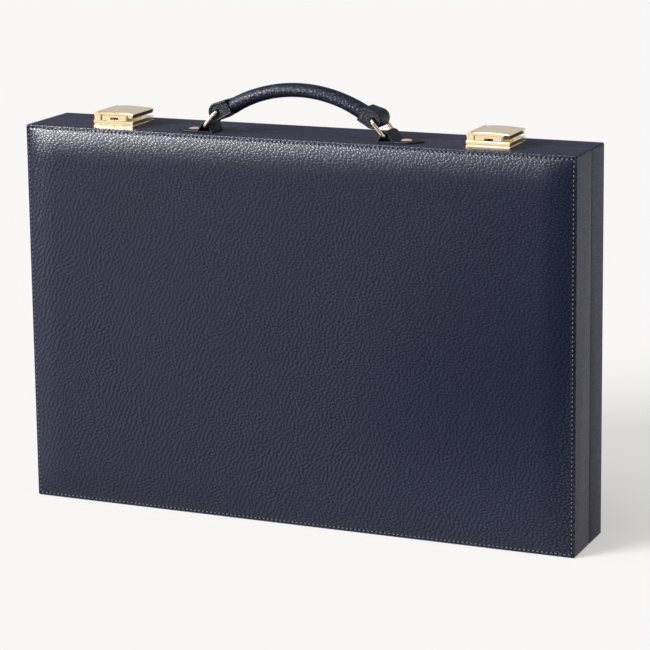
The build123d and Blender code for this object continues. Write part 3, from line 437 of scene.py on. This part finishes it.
def thread_template():
    """A short thread that arches up between two needle holes, as (along, across, up) points."""
    rings, sides = 7, 6
    points = []
    for i in range(rings):
        t = i / (rings - 1)
        along = (t - 0.5) * THREAD_LENGTH
        up = THREAD_ARCH * (math.sin(t * math.pi) ** 0.6) - 0.35 * THREAD_ARCH
        size = THREAD_RADIUS * (0.55 + 0.45 * math.sin(t * math.pi) ** 0.5)
        for j in range(sides):
            angle = 2 * math.pi * j / sides
            points.append((along, size * math.cos(angle), up + size * math.sin(angle)))
    faces = grid_faces(rings, sides, close_columns=True)
    faces.append(tuple(range(sides)))
    faces.append(tuple((rings - 1) * sides + j for j in range(sides)))
    return points, faces


def hole_shade_template():
    """A needle hole's painted shade: a shallow dark lens that lies on the leather, as (along, across, up)
    points.
    """
    rings, sides = 2, 8
    points = [(0.0, 0.0, HOLE_HEIGHT)]
    for i in range(rings):
        t = (i + 1) / rings
        for j in range(sides):
            angle = 2 * math.pi * j / sides
            along = HOLE_LENGTH / 2 * t * math.cos(angle)
            across = HOLE_WIDTH / 2 * t * math.sin(angle)
            points.append((along, across, HOLE_HEIGHT * (1 - t * t)))
    points.append((0.0, 0.0, -HOLE_HEIGHT))
    faces = [(0, 1 + j, 1 + (j + 1) % sides) for j in range(sides)]
    faces += grid_faces(rings, sides, start=1, close_columns=True)
    last = 1 + (rings - 1) * sides
    faces += [(len(points) - 1, last + j, last + (j + 1) % sides) for j in range(sides)]
    return points, faces


def repeat_template(name, template, places):
    """One mesh that repeats a template at (origin, along, across, up) places."""
    points, faces = template
    vertices, all_faces = [], []
    for origin, along, across, up in places:
        all_faces += shifted(faces, len(vertices))
        vertices += [origin + along * a + across * b + up * c for a, b, c in points]
    return mesh_object(name, vertices, all_faces)


def panel_stitches(half):
    """Thread, and the painted shade of the needle holes, round one panel."""
    side, edge = HALVES[half]["side"], HALVES[half]["edge"]
    threads, holes = [], []
    for (x, z), (dx, dz), step in stitch_spots():
        u, v = x + WIDTH / 2, z + HEIGHT / 2
        slope = [crown_height(u + a, v + b) - crown_height(u - a, v - b) for a, b in ((MM, 0), (0, MM))]
        up = Vector((-slope[0] / (2 * MM), side, -slope[1] / (2 * MM))).normalized()
        along = Vector((dx, 0, dz))
        across = up.cross(along)
        origin = Vector((x, SEAM_Y + side * (edge + crown_height(u, v)), v)) + up * STITCH_LIFT
        threads.append((origin, along, across, up))
        holes.append((origin + along * (step / 2), along, across, up))
    thread_piece = repeat_template(f"{half}_stitches", thread_template(), threads)
    dress(thread_piece, thread, half, LEATHER_SLOT)
    hole_piece = repeat_template(f"{half}_needle_hole_shade", hole_shade_template(), holes)
    dress(hole_piece, painted_hole_shade, half, LEATHER_SLOT)


# ---- Leather round the four sides ----
CORNER_POINTS = 7  # points of the outline on each corner
SMALLEST_RADIUS = 0.4 * MM
TURN_STEPS = 5
LEFT_FOOT = CORNER_POINTS // 2  # the outline's point in the middle of the bottom left corner
RIGHT_FOOT = 3 * CORNER_POINTS + CORNER_POINTS // 2
LEFT_FOOT_AGAIN = 4 * CORNER_POINTS + CORNER_POINTS // 2


def outline_points(inset):
    """Points round the case's outline, inset, from the bottom left corner up the left side."""
    half_x, half_z = WIDTH / 2 - inset, HEIGHT / 2 - inset
    radius = max(CORNER - inset, SMALLEST_RADIUS)
    points = []
    for sx, sz, start, end in ((-1, -1, 270, 180), (-1, 1, 180, 90), (1, 1, 90, 0), (1, -1, 0, -90)):
        for k in range(CORNER_POINTS):
            angle = math.radians(start + (end - start) * k / (CORNER_POINTS - 1))
            x = sx * (half_x - radius) + radius * math.cos(angle)
            z = HEIGHT / 2 + sz * (half_z - radius) + radius * math.sin(angle)
            points.append((x, z))
    return points


def swept_outline(profile, first, last):
    """Vertices and faces of a closed (distance from seam, inset) profile swept along the outline."""
    columns = last - first + 1
    vertices = []
    for y, inset in profile:
        points = outline_points(inset)
        ring = points + points[:CORNER_POINTS]
        vertices += [(x, y, z) for x, z in ring[first : last + 1]]
    faces = grid_faces(len(profile), columns, close_rows=True)
    faces.append(tuple(i * columns for i in range(len(profile))))
    faces.append(tuple(i * columns + columns - 1 for i in range(len(profile))))
    return vertices, faces


def bevel_foot(piece, side):
    """Cuts the bevel below the hinge's axis that lets the halves swing past each other."""
    cut = bmesh.new()
    cut.from_mesh(piece.data)
    top = Vector((0, SEAM_Y, RELIEF_TOP))
    slope = Vector((0, side * GROOVE, -RELIEF_TOP))
    normal = Vector((0, -side * RELIEF_TOP, -GROOVE)).normalized()
    geometry = cut.verts[:] + cut.edges[:] + cut.faces[:]
    bmesh.ops.bisect_plane(cut, geom=geometry, plane_co=top + slope, plane_no=normal, clear_outer=True)
    bmesh.ops.holes_fill(cut, edges=[edge for edge in cut.edges if edge.is_boundary])
    bmesh.ops.recalc_face_normals(cut, faces=cut.faces)
    cut.to_mesh(piece.data)
    cut.free()


def wrap_piece(half):
    """The leather that covers the sides and turns over the frame's edge at the seam."""
    side, edge = HALVES[half]["side"], HALVES[half]["edge"]
    start = edge - LEATHER
    side_profile = [(start, 0.0)]
    side_profile += arc_points((SEAM_GAP + TURN_RADIUS, TURN_RADIUS), TURN_RADIUS, -90, -180, TURN_STEPS)
    side_profile += arc_points((SEAM_GAP + TURN_RADIUS, WALL - TURN_RADIUS), TURN_RADIUS, 180, 90, TURN_STEPS)
    side_profile += [(SEAM_GAP + TURNED, WALL), (SEAM_GAP + TURNED, WRAP), (start, WRAP)]
    floor_profile = [(start, 0.0)]
    floor_profile += arc_points((GROOVE + TURN_RADIUS, TURN_RADIUS), TURN_RADIUS, -90, -180, TURN_STEPS)
    floor_profile += [(GROOVE, WRAP), (start, WRAP)]
    vertices, faces = [], []
    spans = ((side_profile, LEFT_FOOT, RIGHT_FOOT), (floor_profile, RIGHT_FOOT, LEFT_FOOT_AGAIN))
    for profile, first, last in spans:
        placed = [(SEAM_Y + side * t, inset) for t, inset in profile]
        new_vertices, new_faces = swept_outline(placed, first, last)
        faces += shifted(new_faces, len(vertices))
        vertices += new_vertices
    piece = mesh_object(f"{half}_wrap_leather", vertices, faces)
    bevel_foot(piece, side)
    dress(piece, wrap_leather, half, LEATHER_SLOT, f"{half}_wrap", f"{half}_seam_binding")


# ---- Handle ----
cover_low, cover_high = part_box("handle_cover")
loops_low, loops_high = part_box("handle_loops")
HANDLE_Y = (cover_low[1] + cover_high[1]) / 2
STRAP_WIDE = loops_high[1] - loops_low[1]
CHAPE_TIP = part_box("right_chape")[1][0]
TOP_Z = HEIGHT  # the case stands at height 0
ARCH_R = 105.0 * MM  # radius of the grip's middle line
ARCH_TOP = 34.5 * MM  # its highest point, above the case
GRIP_HALF = 54.0 * MM  # half the grip's length, along the case
RING_FOOT = (73.0 * MM, 4.6 * MM)  # middle of a ring's lower bar, along and above the case
RING_HEAD = (63.0 * MM, 16.4 * MM)  # middle of its upper bar
ARCH_CENTRE_Z = TOP_Z + ARCH_TOP - ARCH_R
ARCH_HALF_ANGLE = math.asin(GRIP_HALF / ARCH_R)
GRIP_WIDE = 14.6  # width and height of the grip in its middle, in millimetres
GRIP_TALL = 10.5
GRIP_WIDE_SWELL = 0.2  # how much more they are at its ends, in millimetres
GRIP_TALL_SWELL = 1.3
GRIP_BORE = (11.7 * MM, 7.9 * MM)  # width and height of the space for the core
GRIP_END_RADIUS = 0.7 * MM
GRIP_LIP = 0.25 * MM  # the rolled lip at each end, and how far it reaches along the grip
GRIP_LIP_REACH = 1.2 * MM
STRAP_ROUNDING = 0.38  # radius of a strap's long edges, as a share of its thickness
STRAP_CORNER_STEPS = 3


def oval_ring(centre, normal, wide, tall, sides):
    """Points of an oval across the arch at one place; normal points away from the arch's centre."""
    points = []
    for j in range(sides):
        angle = 2 * math.pi * j / sides
        across, up = math.cos(angle) * wide / 2, math.sin(angle) * tall / 2
        points.append(centre + Vector((0, across, 0)) + normal * up)
    return points


def grip_piece():
    """The padded grip: an oval sleeve along the arch, a little thicker at both ends."""
    stations, sides = 96, 40
    outer, inner = [], []
    for i in range(stations + 1):
        s = 2 * i / stations - 1
        s = math.copysign(abs(s) ** 0.75, s)
        angle = s * ARCH_HALF_ANGLE
        normal = Vector((math.sin(angle), 0, math.cos(angle)))
        centre = Vector((0, HANDLE_Y, ARCH_CENTRE_Z)) + normal * ARCH_R
        end_distance = (1 - abs(s)) * ARCH_HALF_ANGLE * ARCH_R
        tall = (GRIP_TALL + GRIP_TALL_SWELL * abs(s) ** 3) * MM
        wide = (GRIP_WIDE + GRIP_WIDE_SWELL * abs(s) ** 3) * MM
        lip = GRIP_LIP * math.exp(-((end_distance / GRIP_LIP_REACH) ** 2))
        rounding = 0.0
        if end_distance < GRIP_END_RADIUS:
            reach = GRIP_END_RADIUS - end_distance
            rounding = GRIP_END_RADIUS - math.sqrt(max(GRIP_END_RADIUS**2 - reach**2, 0))
        trim = 2 * (lip - rounding)
        outer += oval_ring(centre, normal, wide + trim, tall + trim, sides)
        inner += oval_ring(centre, normal, *GRIP_BORE, sides)
    rows, count = stations + 1, len(outer)
    faces = grid_faces(rows, sides, close_columns=True)
    faces += grid_faces(rows, sides, start=count, close_columns=True)
    for row in (0, rows - 1):
        for j in range(sides):
            a, b = row * sides + j, row * sides + (j + 1) % sides
            faces.append((a, b, b + count, a + count))
    piece = mesh_object("grip_cover", outer + inner, faces)
    dress(piece, grip_leather, "handle", LEATHER_SLOT, "handle_cover")


def strap_mesh(path, thickness, widths):
    """A flat strap swept along a path of (x, z) points, one width for each, with rounded long edges."""
    vertices = []
    count, radius, half_t = len(path), thickness * STRAP_ROUNDING, thickness / 2
    for i, (x, z) in enumerate(path):
        before = path[max(i - 1, 0)]
        after = path[min(i + 1, count - 1)]
        tangent = Vector((after[0] - before[0], 0, after[1] - before[1])).normalized()
        normal = Vector((-tangent.z, 0, tangent.x))
        half_w = widths[i] / 2
        r = min(radius, half_w * 0.9)
        for sy, sn, start in ((1, 1, 0), (-1, 1, 90), (-1, -1, 180), (1, -1, 270)):
            centre = (sy * (half_w - r), sn * (half_t - r))
            for y, n in arc_points(centre, r, start, start + 90, STRAP_CORNER_STEPS):
                vertices.append(Vector((x, HANDLE_Y + y, z)) + normal * n)
    sides = 4 * (STRAP_CORNER_STEPS + 1)
    faces = grid_faces(count, sides, close_columns=True)
    faces.append(tuple(range(sides)))
    faces.append(tuple((count - 1) * sides + j for j in range(sides)))
    return vertices, faces


def end_frame(point):
    """The (x, z) of a point in the frame of the grip's right end: out along the arch, and away from it."""
    a = ARCH_HALF_ANGLE
    end_z = ARCH_CENTRE_Z + ARCH_R * math.cos(a)
    u, n = point
    return (GRIP_HALF + u * math.cos(a) + n * math.sin(a), end_z - u * math.sin(a) + n * math.cos(a))


def to_end_frame(x, z):
    """The reverse of end_frame."""
    a = ARCH_HALF_ANGLE
    dx = x - GRIP_HALF
    dz = z - (ARCH_CENTRE_Z + ARCH_R * math.cos(a))
    return (dx * math.cos(a) - dz * math.sin(a), dx * math.sin(a) + dz * math.cos(a))


def mirrored(vertices):
    """The same points on the other side of the case's middle."""
    return [Vector((-v[0], v[1], v[2])) for v in vertices]


def both_ends(name, vertices, faces):
    """One object with a right-hand shape and its mirror image."""
    flipped = [tuple(reversed(face)) for face in shifted(faces, len(vertices))]
    return mesh_object(name, vertices + mirrored(vertices), faces + flipped)


def tangent_angle(point, centre, radius, side):
    """The angle in degrees at which a line from a point touches a circle; side is 1 above, -1 below."""
    du, dn = point[0] - centre[0], point[1] - centre[1]
    return math.degrees(math.atan2(dn, du) - side * math.acos(radius / math.hypot(du, dn)))


def loop_packing(centre, radius, angles, neck, hole, width):
    """The leather packed inside one loop of strap: a plate across the strap, with a hole for the ring."""
    high, low = angles
    smallest_cosine = 0.2  # keeps the plate's straight sides from running off to infinity
    vertices, count = [], 90
    for k in range(count):
        angle = -180 + 360 * k / count
        reach = radius
        if angle > high:
            reach = radius / max(math.cos(math.radians(angle - high)), smallest_cosine)
        if angle < low:
            reach = radius / max(math.cos(math.radians(low - angle)), smallest_cosine)
        along, up = math.cos(math.radians(angle)), math.sin(math.radians(angle))
        if along < 0:
            reach = min(reach, (neck - centre[0]) / along)
        for distance, side in ((reach, -1), (reach, 1), (hole, 1), (hole, -1)):
            x, z = end_frame((centre[0] + along * distance, centre[1] + up * distance))
            vertices.append(Vector((x, HANDLE_Y + side * width / 2, z)))
    return vertices, grid_faces(count, 4, close_rows=True, close_columns=True)


def handle_ends():
    """The strap folded round each ring, its packing, and the short tab laid over it next to the grip."""
    band = 1.9 * MM  # thickness of the strap
    loop_outside = 6.8 * MM
    ring_hole = 2.1 * MM
    overlap = 0.2 * MM  # the packing reaches this far into the strap
    packing_wide = STRAP_WIDE - 1.8 * MM
    upper, lower = (-1.0 * MM, 5.1 * MM), (-1.0 * MM, -4.0 * MM)  # where the strap leaves the grip
    tab = [(-0.8 * MM, 5.9 * MM), (1.2 * MM, 6.35 * MM), (3.0 * MM, 6.8 * MM), (4.8 * MM, 7.2 * MM)]
    tab_thick, tab_wide = 0.9 * MM, STRAP_WIDE - 0.6 * MM

    centre = to_end_frame(RING_HEAD[0], TOP_Z + RING_HEAD[1])
    radius = loop_outside - band / 2
    angles = (tangent_angle(upper, centre, radius, 1), tangent_angle(lower, centre, radius, -1))
    arc = arc_points(centre, radius, *angles, 30)
    path = line_points(upper, arc[0], 8) + arc + list(reversed(line_points(lower, arc[-1], 8)))
    path = [end_frame(p) for p in path]
    loops = both_ends("strap_loops", *strap_mesh(path, band, [STRAP_WIDE] * len(path)))
    dress(loops, strap_leather, "handle", LEATHER_SLOT, "handle_loops")

    inside = radius - band / 2 + overlap
    plate = loop_packing(centre, inside, angles, upper[0], ring_hole, packing_wide)
    packing = both_ends("loop_packing", *plate)
    for polygon in packing.data.polygons:
        polygon.use_smooth = False
    dress(packing, strap_leather, "handle", LEATHER_SLOT)

    tab_path = [end_frame(p) for p in tab]
    tabs = both_ends("strap_tabs", *strap_mesh(tab_path, tab_thick, [tab_wide] * len(tab_path)))
    dress(tabs, strap_leather, "handle", LEATHER_SLOT, "handle_tabs")


def chape_path(thick, point_start):
    """The (x, z) points of a chape: flat from its tip, up and over the ring's lower bar, and down again."""
    flat_z = TOP_Z + thick / 2
    bend_start = (80.0 * MM, flat_z)
    end = (67.0 * MM, TOP_Z + 0.6 * MM)
    outside = 3.9 * MM  # radius of the leather over the ring's bar
    centre = (RING_FOOT[0], TOP_Z + RING_FOOT[1])
    arc = arc_points(centre, outside - thick / 2, 30.0, 152.0, 18)
    run = line_points((CHAPE_TIP, flat_z), (point_start, flat_z), 14)
    run += line_points((point_start, flat_z), bend_start, 6)
    bend = []
    for k in range(8):
        t = k / 8
        x = bend_start[0] + (arc[0][0] - bend_start[0]) * t
        z = bend_start[1] + (arc[0][1] - bend_start[1]) * t**1.4
        bend.append((x, z))
    down = list(reversed(line_points(end, arc[-1], 6)))
    return run + bend + arc + down


def chapes():
    """The pointed leather straps that hold the rings down, each with a thin layer under it."""
    thick, tip_wide = 1.4 * MM, 1.2 * MM
    point_start = 88.0 * MM  # from here outwards the chape narrows to its tip
    under_thick, under_wide = 0.9 * MM, STRAP_WIDE - 1.0 * MM
    under_start, under_end, under_z = 66.8 * MM, 86.0 * MM, TOP_Z + 0.5 * MM

    path = chape_path(thick, point_start)
    widths = []
    for x, _ in path:
        t = min(max((CHAPE_TIP - x) / (CHAPE_TIP - point_start), 0.0), 1.0)
        widths.append(max(STRAP_WIDE * math.sin(t * math.pi / 2) ** 0.85, tip_wide))
    vertices, faces = strap_mesh(path, thick, widths)
    under_path = line_points((under_start, under_z), (under_end, under_z), 6)
    under, under_faces = strap_mesh(under_path, under_thick, [under_wide] * len(under_path))
    faces = faces + shifted(under_faces, len(vertices))
    vertices = vertices + under
    for name, points in (("right", vertices), ("left", mirrored(vertices))):
        piece = mesh_object(f"{name}_chape_leather", points, faces)
        dress(piece, strap_leather, "base", LEATHER_SLOT, f"{name}_chape")


# ---- Floor, light and camera ----
BACKGROUND = (0.930, 0.922, 0.905)
FLOOR_PAPER = (0.655, 0.65, 0.645, 1)
FLOOR_HALF = 9.0
GLOW = 0.5  # share of the floor's light that is its own, so that shadows stay pale


def stage_floor():
    """A large pale floor."""
    half = FLOOR_HALF
    corners = [(-half, -half, 0), (half, -half, 0), (half, half, 0), (-half, half, 0)]
    floor = mesh_object("floor", corners, [(0, 1, 2, 3)])
    made, tree, shader = new_material("floor_paper")
    shader.inputs["Base Color"].default_value = FLOOR_PAPER
    shader.inputs["Roughness"].default_value = 0.95
    shader.inputs["Specular IOR Level"].default_value = 0.1
    glow = add_node(tree, "ShaderNodeEmission", {"Color": (*BACKGROUND, 1), "Strength": 1.0})
    mix = add_node(tree, "ShaderNodeMixShader", {0: 1 - GLOW})
    tree.links.new(glow.outputs["Emission"], mix.inputs[1])
    tree.links.new(shader.outputs["BSDF"], mix.inputs[2])
    tree.links.new(mix.outputs["Shader"], tree.nodes["Material Output"].inputs["Surface"])
    floor.data.materials.append(made)


def stage_flag():
    """A dark card on the floor at the front right, which only reflections see."""
    azimuth = math.radians(15)
    out = Vector((math.sin(azimuth), -math.cos(azimuth), 0))
    across = Vector((out.y, -out.x, 0))
    near, far, half_near, half_far = 0.25, 2.2, 0.12, 0.95
    lift = Vector((0, 0, MM))
    corners = [
        out * near - across * half_near + lift,
        out * near + across * half_near + lift,
        out * far + across * half_far + lift,
        out * far - across * half_far + lift,
    ]
    card = mesh_object("flag", corners, [(0, 1, 2, 3)])
    made, _, shader = new_material("flag_cloth")
    shader.inputs["Base Color"].default_value = (0.02, 0.02, 0.022, 1)
    shader.inputs["Roughness"].default_value = 1.0
    card.data.materials.append(made)
    card.visible_camera = False
    card.visible_diffuse = False
    card.visible_shadow = False


def soft_sun(name, azimuth, elevation, spread, strength, colour=(1, 1, 1)):
    """A distant soft light; azimuth is from -Y towards +X, and all angles are in degrees."""
    data = bpy.data.lights.new(name, "SUN")
    data.angle = math.radians(spread)
    data.energy = strength
    data.color = colour
    light = bpy.data.objects.new(name, data)
    a, e = math.radians(azimuth), math.radians(elevation)
    towards = Vector((math.sin(a) * math.cos(e), -math.cos(a) * math.cos(e), math.sin(e)))
    light.rotation_euler = towards.to_track_quat("Z", "Y").to_euler()
    bpy.context.scene.collection.objects.link(light)
    return light


def studio():
    """A dim white surround, a soft key light from the front left and a soft light overhead.

    Three weaker lights fall on the case alone, or on its gilt metal alone, so the floor has one shadow.
    """
    world = bpy.data.worlds.new("studio")
    bpy.context.scene.world = world
    world.use_nodes = True
    surround = world.node_tree.nodes["Background"]
    surround.inputs["Color"].default_value = (0.96, 0.97, 1.0, 1)
    surround.inputs["Strength"].default_value = 0.22
    soft_sun("key", -41, 21, 28, 6.8, (1.0, 0.99, 0.98))
    soft_sun("overhead", -20, 70, 36, 1.6)
    side = soft_sun("side", -74, 30, 40, 1.8)
    fill = soft_sun("fill", 110, 25, 60, 0.78, (0.72, 0.78, 1.0))
    behind = soft_sun("behind", 203, 14, 70, 0.40, (1.0, 0.97, 0.94))
    case, metal = (bpy.data.collections.new(name) for name in ("lit_case", "lit_metal"))
    for thing in bpy.context.scene.objects:
        if thing.type == "MESH" and thing.name not in ("floor", "flag"):
            case.objects.link(thing)
            if thing.data.materials[0] == gold:
                metal.objects.link(thing)
    side.light_linking.receiver_collection = case
    fill.light_linking.receiver_collection = case
    behind.light_linking.receiver_collection = metal


def place_camera():
    """The camera, from the front right and a little above."""
    azimuth, elevation, roll = math.radians(23.38), math.radians(11.14), math.radians(-0.69)
    distance = 1.977
    target = Vector((0.0140, 0.0, 0.2277))
    level = math.cos(elevation)
    back = Vector((math.sin(azimuth) * level, -math.cos(azimuth) * level, math.sin(elevation)))
    right = Vector((math.cos(azimuth), math.sin(azimuth), 0))
    up = back.cross(right)
    turned_right = right * math.cos(roll) + up * math.sin(roll)
    turned_up = up * math.cos(roll) - right * math.sin(roll)
    data = bpy.data.cameras.new("camera")
    data.lens = 145.5
    data.sensor_width = 36.0
    data.shift_y = -0.154  # a slightly lowered view keeps the uprights near parallel
    camera = bpy.data.objects.new("camera", data)
    turn = Matrix((turned_right, turned_up, back)).transposed().to_4x4()
    camera.matrix_world = Matrix.Translation(target + back * distance) @ turn
    bpy.context.scene.collection.objects.link(camera)
    bpy.context.scene.camera = camera


# ---- Build ----
for half in HALVES:
    padded_panel(half)
    panel_stitches(half)
    wrap_piece(half)
grip_piece()
handle_ends()
chapes()
stage_floor()
stage_flag()
studio()
place_camera()
bpy.context.scene.view_settings.view_transform = "Standard"
